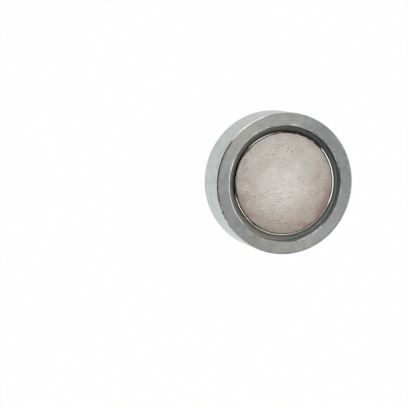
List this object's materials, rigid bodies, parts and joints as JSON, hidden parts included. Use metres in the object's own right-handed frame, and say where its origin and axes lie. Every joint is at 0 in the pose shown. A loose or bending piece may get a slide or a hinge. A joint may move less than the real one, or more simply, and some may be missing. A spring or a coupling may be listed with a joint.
{
  "type": "flat pot magnet",
  "caption": "Flat round holding magnet: a disc magnet potted with resin in a turned, zinc-plated steel pot with a closed back.",
  "frame": {"origin": "centre of the closed back, where the magnet rests", "axes": "+Z along the axis of the pot, from the closed back to the holding face; X and Y lie in the back's plane and are alike"},
  "size_m": [0.025, 0.025, 0.008],
  "materials": {
    "plated_steel": "zinc-plated turned steel, satin, with fine turning rings on both faces",
    "magnet_plating": "warm satin nickel plating over a sintered disc, finely speckled, brighter on its rounded edge",
    "resin": "dark grey-green potting resin, half gloss"
  },
  "bodies": {
    "root": {"steel_pot": "plated_steel", "disc_magnet": "magnet_plating", "potting_ring": "resin"}
  },
  "joints": []
}
